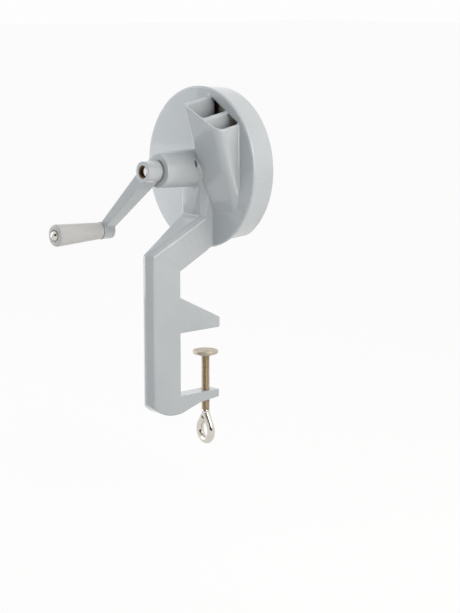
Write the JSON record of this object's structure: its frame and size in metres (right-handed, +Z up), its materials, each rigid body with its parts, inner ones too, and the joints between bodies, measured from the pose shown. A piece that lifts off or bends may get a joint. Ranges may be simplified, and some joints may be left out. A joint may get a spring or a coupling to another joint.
{
  "type": "bean slicer",
  "caption": "Hand cranked bean slicer with a table clamp: a twin feed chute leads onto a knife disc that the crank turns inside an open backed drum.",
  "frame": {"origin": "on the clamp screw's axis, on the upper jaw's seat, where it rests on the table top", "axes": "+Z up, +Y in over the table along the crank axis from the crank to the knife disc, +X to the right for someone who faces the crank"},
  "size_m": [0.15, 0.1495, 0.3401],
  "materials": {
    "paint": "cast aluminium under a glossy pale blue grey coat",
    "grip_plastic": "smooth pale grey plastic with a soft gloss",
    "steel": "turned steel",
    "blade": "ground stainless steel",
    "nickel": "bright warm nickel plate",
    "bronze": "plain bearing bronze"
  },
  "bodies": {
    "stand": {"clamp_stand": "paint", "drum_housing": "paint", "feed_chute": "paint", "front_bush": "bronze", "rear_bush": "bronze"},
    "crank": {"crank_shaft": "steel", "front_washer": "steel", "rear_washer": "steel", "drive_pins": "steel", "knife_disc": "steel", "blade_1": "blade", "blade_2": "blade", "blade_3": "blade", "blade_screws": "steel", "disc_washer": "steel", "disc_nut": "nickel", "crank_arm": "paint", "grip_pin": "nickel"},
    "grip_sleeve": {"grip": "grip_plastic"},
    "pad": {"pressure_plate": "nickel"},
    "screw": {"clamp_screw": "nickel"}
  },
  "joints": [
    {"name": "crank_turn", "type": "hinge", "parent": "stand", "child": "crank", "pos_m": [0, -0.007, 0.152], "axis": [0, 1, 0], "continuous": true},
    {"name": "grip_spin", "type": "hinge", "parent": "crank", "child": "grip_sleeve", "pos_m": [-0.06332, -0.101, 0.09233], "axis": [0, 1, 0], "continuous": true},
    {"name": "pad_slide", "type": "slide", "parent": "stand", "child": "pad", "axis": [0, 0, 1], "range_m": [-0.032, 0.014]},
    {"name": "screw_turn", "type": "hinge", "parent": "pad", "child": "screw", "pos_m": [0, 0, -0.06], "axis": [0, 0, 1], "range_deg": [-9220, 4036]}
  ],
  "couplings": [
    {"joint": "screw_turn", "follows": "pad_slide", "rad_per_m": 5026.5}
  ]
}
